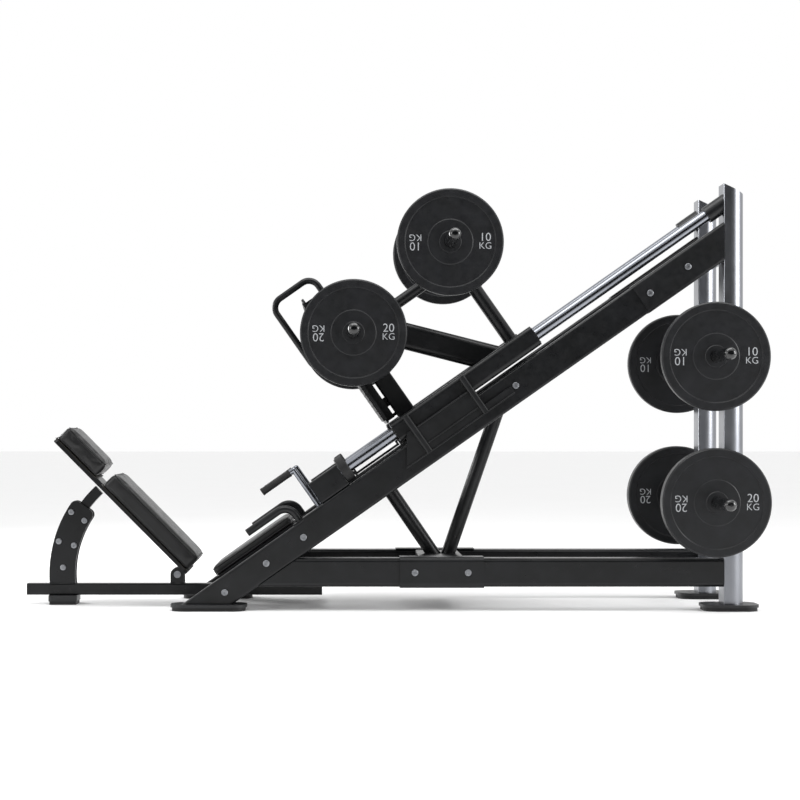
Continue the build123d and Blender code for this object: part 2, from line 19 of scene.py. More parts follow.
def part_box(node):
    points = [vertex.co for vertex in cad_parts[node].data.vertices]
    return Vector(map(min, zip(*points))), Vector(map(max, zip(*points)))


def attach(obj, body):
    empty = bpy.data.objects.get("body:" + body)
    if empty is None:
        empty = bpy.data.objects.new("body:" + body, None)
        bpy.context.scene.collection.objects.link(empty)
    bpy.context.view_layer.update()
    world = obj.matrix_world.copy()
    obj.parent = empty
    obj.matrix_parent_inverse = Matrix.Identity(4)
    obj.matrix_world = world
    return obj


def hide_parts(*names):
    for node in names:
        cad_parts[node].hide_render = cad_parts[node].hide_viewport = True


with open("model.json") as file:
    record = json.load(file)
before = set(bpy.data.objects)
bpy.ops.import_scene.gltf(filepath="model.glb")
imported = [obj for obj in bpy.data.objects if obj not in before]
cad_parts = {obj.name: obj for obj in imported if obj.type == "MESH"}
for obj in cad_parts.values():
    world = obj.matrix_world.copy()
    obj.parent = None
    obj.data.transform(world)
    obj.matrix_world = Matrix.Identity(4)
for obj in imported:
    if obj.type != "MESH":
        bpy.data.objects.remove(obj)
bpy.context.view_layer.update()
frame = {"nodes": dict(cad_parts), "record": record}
NODES: dict[str, bpy.types.Object] = frame["nodes"]
LOG = logging.getLogger("leg_press")

MM = 0.001
CENTRE_X = 0.206
HINGE_X, HINGE_Z = -0.706, 0.129
RAIL_FOOT_Z = 0.3424
SLOPE = radians(35)
BACK_ANGLE = radians(134.8)
BEAD_RADIUS, BEAD_RIPPLE, BEAD_SWELL = 3.2 * MM, 4.5 * MM, 0.16
SIDES = {"right": -1.0, "left": 1.0}
STILL = Matrix.Identity(4)
HALF_TURN = Matrix.Rotation(pi, 4, "Z")
ACROSS = Matrix.Scale(-1, 4, (0, 1, 0))


def axes(origin: Sequence[float], x_dir: Sequence[float], y_dir: Sequence[float]) -> Matrix:
    """Placement matrix of a working frame.

    Args:
        origin: The frame's origin in metres.
        x_dir: Unit vector of its first axis.
        y_dir: Unit vector of its second axis.

    Returns:
        The matrix that takes the working frame's points to the machine's frame.
    """
    first, second = Vector(x_dir), Vector(y_dir)
    turn = Matrix((first, second, first.cross(second))).transposed().to_4x4()
    return Matrix.Translation(origin) @ turn


# Working frames: along the slope of the rails, up the backrest from its hinge, and level.
RAIL = axes((-CENTRE_X, 0, RAIL_FOOT_Z), (cos(SLOPE), 0, sin(SLOPE)), (0, 1, 0))
BACK = axes((HINGE_X - CENTRE_X, 0, HINGE_Z), (cos(BACK_ANGLE), 0, sin(BACK_ANGLE)), (0, -1, 0))
FLAT = Matrix.Translation((-CENTRE_X, 0, 0))


# ---- Node and colour helpers ---------------------------------------------------------------
def linear(hex_colour: str) -> tuple[float, float, float, float]:
    """Turn an sRGB hex colour into linear light.

    Args:
        hex_colour: Six hex digits.

    Returns:
        Red, green, blue and an alpha of 1.
    """
    channels = [int(hex_colour[i:i + 2], 16) / 255 for i in (0, 2, 4)]
    red, green, blue = (
        c / 12.92 if c <= 0.04045 else ((c + 0.055) / 1.055) ** 2.4 for c in channels
    )
    return red, green, blue, 1.0


def add_node(
    tree: bpy.types.NodeTree, kind: str, settings: dict | None = None, links: dict | None = None
) -> bpy.types.Node:
    """Add a shader node with its settings and links.

    Args:
        tree: The node tree it goes in.
        kind: The node's type name.
        settings: Values of properties, and of sockets by name or number.
        links: Source sockets by the name or number of the input.

    Returns:
        The new node.
    """
    node = tree.nodes.new(kind)
    for key, value in (settings or {}).items():
        if isinstance(key, int) or key in node.inputs:
            node.inputs[key].default_value = value
        else:
            setattr(node, key, value)
    for key, source in (links or {}).items():
        tree.links.new(source, node.inputs[key])
    return node


class Grain(Enum):
    """How a surface was made, which gives its fine relief."""

    POWDER = "sprayed and baked powder, orange peel"
    ROLLED = "drawn or ground along its length"
    MOULDED = "moulded against a sparked tool"
    LEATHER = "pressed leather grain"
    PLIED = "peeled and glued veneers"
    PRINTED = "printed ink"


@dataclass(frozen=True)
class Finish:
    """One real finish and what it gives the eye.

    Attributes:
        name: Common name of the material and its surface.
        colour: Main colour.
        shade: Second colour of its slow variation.
        roughness: Middle roughness.
        spread: How far the roughness varies.
        grain: How the surface was made.
        grain_mm: Size of one grain.
        relief_mm: Height of the grain.
        patch_mm: Size of the slow colour variation.
        metallic: 1 for bare metal.
        specular: Specular level on the shader.
        coat: Clear coat weight.
        sheen: Sheen weight.
    """

    name: str
    colour: str
    shade: str
    roughness: float
    spread: float
    grain: Grain
    grain_mm: float
    relief_mm: float
    patch_mm: float = 120.0
    metallic: float = 0.0
    specular: float = 0.5
    coat: float = 0.0
    sheen: float = 0.0

    def material(self) -> bpy.types.Material:
        """Build the finish once, and return the same material each time it is asked for."""
        known = bpy.data.materials.get(self.name)
        if known:
            return known
        made = bpy.data.materials.new(self.name)
        made.use_nodes = True
        tree = made.node_tree
        tree.nodes.clear()
        place = add_node(tree, "ShaderNodeTexCoord").outputs["Object"]
        patches = self.noise(tree, place, self.patch_mm, 3.0)
        fine = self.noise(tree, place, self.grain_mm * 6, 5.0)
        tone = add_node(
            tree, "ShaderNodeMapRange", {"From Min": 0.35, "From Max": 0.65}, {"Value": patches},
        )
        colour = add_node(
            tree, "ShaderNodeMix",
            {"data_type": "RGBA", 6: linear(self.colour), 7: linear(self.shade)},
            {0: tone.outputs[0]},
        )
        low, high = self.roughness - self.spread, self.roughness + self.spread
        rough = add_node(
            tree, "ShaderNodeMapRange",
            {"From Min": 0.3, "From Max": 0.7, "To Min": low, "To Max": high}, {"Value": fine},
        )
        bump = add_node(
            tree, "ShaderNodeBump", {"Strength": 1.0, "Distance": self.relief_mm * MM},
            {"Height": self.height(tree, place)},
        )
        shader = add_node(
            tree, "ShaderNodeBsdfPrincipled",
            {
                "Metallic": self.metallic, "Specular IOR Level": self.specular,
                "Coat Weight": self.coat, "Coat Roughness": 0.12,
                "Sheen Weight": self.sheen, "Sheen Roughness": 0.4,
            },
            {"Base Color": colour.outputs[2], "Roughness": rough.outputs[0], "Normal": bump.outputs[0]},
        )
        add_node(tree, "ShaderNodeOutputMaterial", links={"Surface": shader.outputs[0]})
        return made

    def noise(
        self, tree: bpy.types.NodeTree, place: bpy.types.NodeSocket, size_mm: float, detail: float
    ) -> bpy.types.NodeSocket:
        """Noise of a real size.

        Args:
            tree: The material's tree.
            place: Socket of the coordinates it reads.
            size_mm: Size of one blotch.
            detail: Octaves.

        Returns:
            The noise's value socket.
        """
        settings = {"Scale": 1 / (size_mm * MM), "Detail": detail, "Roughness": 0.55}
        return add_node(tree, "ShaderNodeTexNoise", settings, {"Vector": place}).outputs[0]

    def height(
        self, tree: bpy.types.NodeTree, place: bpy.types.NodeSocket
    ) -> bpy.types.NodeSocket:
        """Relief of the grain for this finish's way of making.

        Args:
            tree: The material's tree.
            place: Socket of the coordinates it reads.

        Returns:
            The height socket.
        """
        scale = 1 / (self.grain_mm * MM)
        if self.grain is Grain.ROLLED:
            slope = add_node(
                tree, "ShaderNodeMapping", {"Rotation": (0, SLOPE, 0), "Scale": (0.03, 1, 1)},
                {"Vector": place},
            )
            return self.noise(tree, slope.outputs[0], self.grain_mm, 2.0)
        if self.grain is Grain.LEATHER:
            cells = add_node(
                tree, "ShaderNodeTexVoronoi", {"feature": "DISTANCE_TO_EDGE", "Scale": scale},
                {"Vector": place},
            )
            pebble = add_node(
                tree, "ShaderNodeMapRange", {"From Max": 0.12, "interpolation_type": "SMOOTHSTEP"},
                {"Value": cells.outputs[0]},
            )
            return pebble.outputs[0]
        if self.grain is Grain.PLIED:
            plies = add_node(
                tree, "ShaderNodeTexWave",
                {"bands_direction": "Z", "Scale": scale, "Distortion": 2.0, "Detail": 3.0},
                {"Vector": place},
            )
            return plies.outputs[1]
        return self.noise(tree, place, self.grain_mm, 3.0)


# Powder coat on steel: a soft broad gloss with a faint orange peel, drawn coarser than the real
# 1 mm so that it shows.
BLACK_COAT = Finish(
    "black_powder_coat", "121315", "0c0d0e", 0.33, 0.06, Grain.POWDER, 4.0, 0.04, specular=0.34
)
PANEL_COAT = Finish(
    "panel_powder_coat", "131416", "0d0e0f", 0.38, 0.06, Grain.POWDER, 4.0, 0.04, specular=0.34
)
FOOT_COAT = Finish("foot_powder_coat", "1c1d1f", "151618", 0.44, 0.08, Grain.POWDER, 5.0, 0.08)
# Metallic grey powder coat: flakes under a satin binder, so it mirrors softly like a metal.
GREY_COAT = Finish(
    "silver_metallic_coat", "8e9095", "83858a", 0.30, 0.02, Grain.POWDER, 6.0, 0.002, 300.0,
    metallic=1.0,
)
# Hard chrome, ground along the rod before plating: narrow bright lines, a little blurred by the
# grain left along its length.
CHROME = Finish(
    "hard_chrome", "8f9299", "83868c", 0.22, 0.02, Grain.ROLLED, 4.0, 0.001, 200.0, metallic=1.0
)
# Gloss enamel on the horns: a clear top layer gives small sharp highlights over near black.
HORN_COAT = Finish(
    "gloss_black_coat", "0d0e0f", "08090a", 0.16, 0.04, Grain.POWDER, 6.0, 0.02, coat=0.6
)
# Bright zinc plate on bolts: a pale satin metal with slightly uneven tone.
ZINC = Finish(
    "bright_zinc_plate", "9b9da1", "85878b", 0.42, 0.08, Grain.ROLLED, 2.0, 0.02, 15.0, metallic=1.0
)
# Moulded rubber over an iron core: nearly matt, with a fine sparked texture.
TYRE_RUBBER = Finish(
    "moulded_plate_rubber", "141518", "0e0f11", 0.44, 0.06, Grain.MOULDED, 4.0, 0.06, 60.0,
    specular=0.36,
)
# Nitrile rubber on grips, mat, feet and bumpers: matt, with soft wide highlights.
SOFT_RUBBER = Finish(
    "nitrile_rubber", "101011", "151516", 0.60, 0.08, Grain.MOULDED, 3.0, 0.10, 30.0, specular=0.4
)
# Polyurethane leather: calendered with a pebble grain, drawn 4 mm across so that it shows.
PAD_LEATHER = Finish(
    "polyurethane_leather", "151516", "101011", 0.38, 0.07, Grain.LEATHER, 4.0, 0.12, 90.0,
    specular=0.42, sheen=0.05,
)
# Birch plywood stained black: flat and dull, with the plies as faint level bands.
BLACK_PLY = Finish(
    "black_stained_plywood", "17150f", "1f1b15", 0.62, 0.08, Grain.PLIED, 12.0, 0.10, 40.0,
    specular=0.3,
)
# Turned acetal bushes: off-white and waxy.
ACETAL = Finish("turned_acetal", "b9b7ae", "aaa89f", 0.42, 0.05, Grain.MOULDED, 2.0, 0.04, 20.0)
# Moulded polypropylene plugs and knob: dull black with a fine even texture.
PLUG_PLASTIC = Finish(
    "moulded_polypropylene", "151516", "1c1c1d", 0.5, 0.06, Grain.MOULDED, 2.5, 0.08, 25.0
)
# Pad-printed ink on rubber: a thin, dry, grey-white film.
WHITE_INK = Finish(
    "grey_white_pad_print", "a4a6a9", "929497", 0.55, 0.05, Grain.PRINTED, 2.0, 0.03, 8.0,
    specular=0.3,
)

SLOT_FINISH = {
    "black_steel": BLACK_COAT, "black_panel": PANEL_COAT, "plate_steel": PANEL_COAT,
    "grey_steel": GREY_COAT, "foot_steel": FOOT_COAT, "horn_steel": HORN_COAT,
    "chrome": CHROME, "bolt_steel": ZINC, "rubber_plate": TYRE_RUBBER, "rubber": SOFT_RUBBER,
    "pad_leather": PAD_LEATHER, "pad_board": BLACK_PLY, "bush_plastic": ACETAL,
    "knob_plastic": PLUG_PLASTIC,
}


# ---- Modelling helpers ---------------------------------------------------------------------
def choose(obj: bpy.types.Object) -> None:
    """Deselect everything, then select one object and make it active."""
    bpy.ops.object.select_all(action="DESELECT")
    obj.select_set(True)
    bpy.context.view_layer.objects.active = obj


@contextmanager
def editing(obj: bpy.types.Object) -> Iterator[bmesh.types.BMesh]:
    """Edit mode on one object, with nothing in it selected to start with."""
    choose(obj)
    bpy.ops.object.mode_set(mode="EDIT")
    bpy.ops.mesh.select_all(action="DESELECT")
    yield bmesh.from_edit_mesh(obj.data)
    bpy.ops.object.mode_set(mode="OBJECT")


def pick_faces(mesh: bmesh.types.BMesh, test: Callable[[bmesh.types.BMFace], bool]) -> None:
    """Select the faces that pass a test."""
    bpy.ops.mesh.select_mode(type="FACE")
    for face in mesh.faces:
        face.select = test(face)


def pick_edges(mesh: bmesh.types.BMesh, test: Callable[[Vector, Vector], bool]) -> None:
    """Select the edges whose two end points pass a test."""
    bpy.ops.mesh.select_mode(type="EDGE")
    for edge in mesh.edges:
        edge.select = test(edge.verts[0].co, edge.verts[1].co)


def new_box(low: Sequence[float], high: Sequence[float]) -> bpy.types.Object:
    """Cube primitive between two corners, with its place in its mesh.

    Args:
        low: Lowest corner.
        high: Highest corner.

    Returns:
        The new object, selected and active.
    """
    low_corner, high_corner = Vector(low), Vector(high)
    bpy.ops.object.select_all(action="DESELECT")
    bpy.ops.mesh.primitive_cube_add(size=1, location=(low_corner + high_corner) / 2)
    obj = bpy.context.object
    obj.scale = high_corner - low_corner
    bpy.ops.object.transform_apply(location=True, rotation=True, scale=True)
    return obj


def new_bar(
    start: Sequence[float], end: Sequence[float], radius: float, sides: int = 32, fill: str = "NGON"
) -> bpy.types.Object:
    """Cylinder primitive from one point to another, with its place in its mesh.

    Args:
        start: Centre of the first end.
        end: Centre of the second end.
        radius: Radius.
        sides: Number of sides.
        fill: How the ends are filled.

    Returns:
        The new object.
    """
    first, last = Vector(start), Vector(end)
    along = last - first
    bpy.ops.object.select_all(action="DESELECT")
    bpy.ops.mesh.primitive_cylinder_add(
        vertices=sides, radius=radius, depth=along.length, end_fill_type=fill,
        location=(first + last) / 2, rotation=along.to_track_quat("Z", "Y").to_euler(),
    )
    bpy.ops.object.transform_apply(location=True, rotation=True, scale=True)
    return bpy.context.object


def face_outwards(obj: bpy.types.Object) -> None:
    """Turn a closed mesh's faces outwards."""
    with editing(obj):
        bpy.ops.mesh.select_all(action="SELECT")
        bpy.ops.mesh.normals_make_consistent(inside=False)


def apply_modifier(obj: bpy.types.Object, kind: str, **settings) -> None:
    """Add a modifier with its settings and apply it."""
    choose(obj)
    modifier = obj.modifiers.new(kind.title(), kind)
    for key, value in settings.items():
        setattr(modifier, key, value)
    bpy.ops.object.modifier_apply(modifier=modifier.name)


def soften(obj: bpy.types.Object, width: float, segments: int = 2) -> None:
    """Round all sharp edges of a piece."""
    apply_modifier(
        obj, "BEVEL", width=width, segments=segments, limit_method="ANGLE", angle_limit=radians(40)
    )


def copy_of(obj: bpy.types.Object, matrix: Matrix | None = None) -> bpy.types.Object:
    """Copy a piece with its own mesh, moved by a matrix."""
    twin = obj.copy()
    twin.data = obj.data.copy()
    bpy.context.scene.collection.objects.link(twin)
    if matrix is not None:
        twin.data.transform(matrix)
        if matrix.determinant() < 0:
            twin.data.flip_normals()
    return twin


def joined(parts: Iterable[bpy.types.Object]) -> bpy.types.Object:
    """Join parts into one piece."""
    members = list(parts)
    choose(members[0])
    for part in members:
        part.select_set(True)
    if len(members) > 1:
        bpy.ops.object.join()
    return bpy.context.view_layer.objects.active


def settle(
    obj: bpy.types.Object, name: str, body: str, slot: str | None, finish: Finish | None = None,
    matrix: Matrix = FLAT, smooth_deg: float = 40.0,
) -> bpy.types.Object:
    """Name, place, dress and attach a finished piece.

    Args:
        obj: The piece, modelled in a working frame.
        name: Its name.
        body: The body it rides on.
        slot: The record's material slot, or None where the finish is not in the record.
        finish: Its finish, or None for the slot's own.
        matrix: The working frame.
        smooth_deg: Edges flatter than this are shaded smooth.

    Returns:
        The same object.
    """
    obj.data.transform(matrix)
    obj.data.update()
    obj.name = name
    obj.data.name = name
    obj.data.materials.clear()
    obj.data.materials.append((finish or SLOT_FINISH[slot]).material())
    choose(obj)
    bpy.ops.object.shade_smooth_by_angle(angle=radians(smooth_deg))
    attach(obj, body)
    LOG.info("%s rides on %s", name, body)
    return obj


def weld_bead(start: Sequence[float], end: Sequence[float]) -> bpy.types.Object:
    """Rippled fillet weld along a straight line.

    Args:
        start: One end.
        end: The other end.

    Returns:
        The bead.
    """
    first, last = Vector(start), Vector(end)
    length = (last - first).length
    rings = max(4, int(2 * length / BEAD_RIPPLE))
    bead = new_bar(start, end, BEAD_RADIUS, 8)
    with editing(bead) as mesh:
        pick_edges(mesh, lambda a, b: abs((a - b).length - length) < 1e-6)
        bpy.ops.mesh.subdivide(number_cuts=rings)
    along = (last - first).normalized()
    for vertex in bead.data.vertices:
        way = (vertex.co - first).dot(along)
        centre = first + along * way
        swell = 1 + BEAD_SWELL * sin(2 * pi * way / BEAD_RIPPLE)
        vertex.co = centre + (vertex.co - centre) * swell
    return bead


# ---- Studio --------------------------------------------------------------------------------
@dataclass
class Studio:
    """White studio: floor, even surround, a dark flag behind the camera and soft boxes."""

    camera_at: tuple[float, float, float] = (-CENTRE_X, -8.5, 0.756)
    lens_mm: float = 87.8
    shift: tuple[float, float] = (0.075, 0.0375)
    floor_half: float = 60.0
    flag_centre: tuple[float, float, float] = (0.2, -11.0, 2.5)
    flag_half: tuple[float, float] = (9.0, 5.5)
    boxes: dict[str, tuple] = field(default_factory=lambda: {
        "top_soft_box": ((0.3, -0.8, 4.6), (5.0, 2.0), 130.0, (0.2, 0.0, 0.6)),
        "right_soft_box": ((5.6, -2.2, 2.2), (2.2, 2.8), 170.0, (0.9, 0.0, 0.8)),
        "left_soft_box": ((-5.0, -2.8, 2.4), (2.2, 2.2), 60.0, (-0.6, 0.0, 0.6)),
        "left_kicker": ((-4.6, 3.4, 1.6), (1.8, 2.6), 210.0, (0.9, 0.2, 0.8)),
    })

    def build(self) -> None:
        """Make the camera first, then the surround, the floor and the lights."""
        self.camera()
        self.surround()
        self.floor()
        for name, (place, size, power, target) in self.boxes.items():
            self.soft_box(name, place, size, power, target)

    def camera(self) -> None:
        """Level camera square to the machine's side."""
        data = bpy.data.cameras.new("camera")
        data.lens, data.sensor_width = self.lens_mm, 36.0
        data.shift_x, data.shift_y = self.shift
        data.clip_end = 200.0
        camera = bpy.data.objects.new("camera", data)
        camera.location = self.camera_at
        camera.rotation_euler = (pi / 2, 0, 0)
        bpy.context.scene.collection.objects.link(camera)
        bpy.context.scene.camera = camera

    def surround(self) -> None:
        """Even white surround, and a dark flag that only reflections see."""
        world = bpy.data.worlds.new("studio_surround")
        bpy.context.scene.world = world
        world.use_nodes = True
        world.node_tree.nodes.clear()
        tree = world.node_tree
        light = add_node(tree, "ShaderNodeBackground", {"Color": linear("ffffff"), "Strength": 1.0})
        add_node(tree, "ShaderNodeOutputWorld", links={"Surface": light.outputs[0]})
        view = bpy.context.scene.view_settings
        view.view_transform, view.look = "Standard", "None"
        bpy.ops.mesh.primitive_plane_add(size=2, location=self.flag_centre, rotation=(pi / 2, 0, 0))
        flag = bpy.context.object
        flag.scale = (*self.flag_half, 1)
        flag.name = "dark_flag"
        cloth = Finish(
            "black_duvetyn", "08080a", "050506", 0.95, 0.02, Grain.MOULDED, 10.0, 0.1, specular=0.0
        )
        flag.data.materials.append(cloth.material())
        flag.visible_camera = flag.visible_diffuse = flag.visible_shadow = False

    def floor(self) -> None:
        """Pale seamless floor."""
        bpy.ops.mesh.primitive_plane_add(size=2 * self.floor_half, location=(0, 0, 0))
        floor = bpy.context.object
        floor.name = "studio_floor"
        paint = Finish(
            "pale_floor_paint", "f4f4f4", "f3f3f3", 0.7, 0.02, Grain.POWDER, 30.0, 0.05, 900.0,
            specular=0.2,
        )
        floor.data.materials.append(paint.material())

    def soft_box(
        self, name: str, place: Sequence[float], size: Sequence[float], power: float,
        target: Sequence[float],
    ) -> None:
        """Rectangular soft light aimed at a point.

        Args:
            name: Its name.
            place: Where it stands.
            size: Width and height.
            power: Watts.
            target: The point it faces.
        """
        data = bpy.data.lights.new(name, "AREA")
        data.shape, data.energy = "RECTANGLE", power
        data.size, data.size_y = size
        light = bpy.data.objects.new(name, data)
        light.location = place
        light.rotation_euler = (Vector(target) - Vector(place)).to_track_quat("-Z", "Y").to_euler()
        bpy.context.scene.collection.objects.link(light)


# ---- Pads ----------------------------------------------------------------------------------
@dataclass
class Pad:
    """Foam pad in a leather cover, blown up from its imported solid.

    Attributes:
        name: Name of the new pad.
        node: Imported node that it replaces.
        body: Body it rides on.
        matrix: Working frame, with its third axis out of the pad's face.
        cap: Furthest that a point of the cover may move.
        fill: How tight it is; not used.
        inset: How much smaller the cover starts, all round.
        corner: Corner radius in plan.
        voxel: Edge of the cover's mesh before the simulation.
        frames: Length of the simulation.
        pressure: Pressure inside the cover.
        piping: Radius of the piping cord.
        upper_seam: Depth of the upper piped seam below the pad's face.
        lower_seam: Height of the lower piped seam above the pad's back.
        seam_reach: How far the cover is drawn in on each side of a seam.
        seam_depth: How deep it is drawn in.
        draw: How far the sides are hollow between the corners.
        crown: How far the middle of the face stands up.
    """

    name: str
    node: str
    body: str
    matrix: Matrix
    cap: float = 9 * MM
    fill: float = 0.85
    inset: float = 5 * MM
    corner: float = 24 * MM
    voxel: float = 6 * MM
    frames: int = 20
    pressure: float = 4.0
    piping: float = 2.3 * MM
    upper_seam: float = 13 * MM
    lower_seam: float = 9 * MM
    seam_reach: float = 7 * MM
    seam_depth: float = 1.6 * MM
    draw: float = 2.5 * MM
    crown: float = 3 * MM

    def build(self) -> None:
        """Make the cover, then its seams and piping."""
        cover = self.cover()
        low, high = self.extent(cover)
        levels = (high.z - self.upper_seam, low.z + self.lower_seam)
        cords = [self.pipe(cover, low, high, level) for level in levels]
        self.press_seams(cover, levels)
        look = {"body": self.body, "slot": "pad_leather", "matrix": self.matrix, "smooth_deg": 80}
        settle(cover, self.name, **look)
        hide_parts(self.node)
        settle(joined(cords), f"{self.name}_piping", **look)

    def points(self, obj: bpy.types.Object) -> np.ndarray:
        """Vertices of an object's mesh in its own frame."""
        return np.array([v.co for v in obj.data.vertices])

    def extent(self, obj: bpy.types.Object) -> tuple[Vector, Vector]:
        """Lowest and highest corner of an object's mesh in its own frame."""
        points = self.points(obj)
        return Vector(points.min(0)), Vector(points.max(0))

    def cover(self) -> bpy.types.Object:
        """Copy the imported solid, shrink it, blow it up and smooth it."""
        cover = copy_of(NODES[self.node], self.matrix.inverted())
        for key in list(cover.keys()):
            del cover[key]
        cover.parent = None
        cover.name = self.name
        with editing(cover):
            bpy.ops.mesh.select_all(action="SELECT")
            bpy.ops.mesh.remove_doubles(threshold=0.02 * MM)
        low, high = self.extent(cover)
        centre, size = (low + high) / 2, high - low
        shrink = Matrix.Diagonal([1 - 2 * self.inset / s for s in size] + [1])
        cover.data.transform(Matrix.Translation(centre) @ shrink @ Matrix.Translation(-centre))
        cover.data.transform(Matrix.Translation((0, 0, -self.inset * 0.9)))
        apply_modifier(cover, "REMESH", mode="VOXEL", voxel_size=self.voxel)
        start = self.points(cover)
        self.inflate(cover)
        moved = self.points(cover) - start
        reach = np.linalg.norm(moved, axis=1, keepdims=True)
        moved *= np.minimum(1.0, self.cap / np.maximum(reach, 1e-9))
        points = start + moved
        points[:, 2] = np.clip(points[:, 2], low.z + 0.3 * MM, high.z + 6 * MM)
        self.draw_in(points, low, high)
        cover.data.vertices.foreach_set("co", points.ravel())
        apply_modifier(cover, "SMOOTH", factor=0.5, iterations=4)
        apply_modifier(cover, "SUBSURF", levels=1, render_levels=1)
        return cover

    def draw_in(self, points: np.ndarray, low: Vector, high: Vector) -> None:
        """Pull the sides in a little between the corners, and crown the face."""
        centre, half = (low + high) / 2, (high - low) / 2
        across = (points[:, :2] - np.array(centre.xy)) / np.array(half.xy)
        for axis, other in ((0, 1), (1, 0)):
            bow = np.cos(across[:, other] * pi / 2).clip(0, 1)
            pull = self.draw * bow * np.abs(across[:, axis]) ** 6
            points[:, axis] -= np.sign(across[:, axis]) * pull
        dome = np.cos(across[:, 0] * pi / 2).clip(0) ** 0.5
        dome = dome * np.cos(across[:, 1] * pi / 2).clip(0) ** 0.5
        height = (points[:, 2] - low.z) / (high.z - low.z)
        points[:, 2] += self.crown * dome * height.clip(0, 1)

    def inflate(self, cover: bpy.types.Object) -> None:
        """Run the cloth under pressure and keep the last frame."""
        choose(cover)
        cloth = cover.modifiers.new("Cloth", "CLOTH")
        settings = cloth.settings
        settings.use_pressure = True
        settings.uniform_pressure_force = self.pressure
        settings.effector_weights.gravity = 0
        settings.quality = 4
        cloth.point_cache.frame_start, cloth.point_cache.frame_end = 1, self.frames
        for step in range(1, self.frames + 1):
            bpy.context.scene.frame_set(step)
        bpy.ops.object.modifier_apply(modifier=cloth.name)
        bpy.context.scene.frame_set(1)

    def outline(self, low: Vector, high: Vector, count: int = 160) -> list[Vector]:
        """Rounded rectangle round the pad, in plan, as evenly spaced points."""
        half_x, half_y = (high.x - low.x) / 2, (high.y - low.y) / 2
        centre = (low + high) / 2
        corners = [(1, 1, 0), (-1, 1, pi / 2), (-1, -1, pi), (1, -1, 3 * pi / 2)]
        points = []
        for sx, sy, turn in corners:
            for step in range(9):
                angle = turn + step * pi / 16
                points.append(Vector((
                    centre.x + sx * (half_x - self.corner) + self.corner * cos(angle),
                    centre.y + sy * (half_y - self.corner) + self.corner * sin(angle), 0,
                )))
        lengths = np.array([(points[i] - points[i - 1]).length for i in range(len(points))])
        marks = np.concatenate([[0], np.cumsum(np.roll(lengths, -1))])
        ring = points + [points[0]]
        wanted = np.linspace(0, marks[-1], count, endpoint=False)
        coords = [np.interp(wanted, marks, [p[axis] for p in ring]) for axis in (0, 1)]
        return [Vector((x, y, 0)) for x, y in zip(*coords)]

    def pipe(
        self, cover: bpy.types.Object, low: Vector, high: Vector, level: float
    ) -> bpy.types.Object:
        """Piping cord sewn round the pad, laid on the cover's real surface.

        Args:
            cover: The finished cover.
            low: Lowest corner of the cover.
            high: Highest corner of the cover.
            level: Height of the seam.

        Returns:
            The cord as a closed tube.
        """
        ring = self.outline(low, high)
        bpy.ops.object.select_all(action="DESELECT")
        bpy.ops.mesh.primitive_circle_add(vertices=len(ring), radius=1)
        cord = bpy.context.object
        for vertex, point in zip(cord.data.vertices, ring):
            point.z = level
            _, spot, _, _ = cover.closest_point_on_mesh(point)
            vertex.co = (spot.x, spot.y, level)
        bpy.ops.object.convert(target="CURVE")
        cord = bpy.context.object
        cord.data.bevel_depth = self.piping
        cord.data.bevel_resolution = 2
        bpy.ops.object.convert(target="MESH")
        return bpy.context.object

    def press_seams(self, cover: bpy.types.Object, levels: Sequence[float]) -> None:
        """Sink the cover a little on both sides of each piped seam."""
        for vertex in cover.data.vertices:
            for level in levels:
                near = 1 - abs(vertex.co.z - level) / self.seam_reach
                if near > 0 and abs(vertex.normal.z) < 0.8:
                    vertex.co -= vertex.normal * self.seam_depth * near


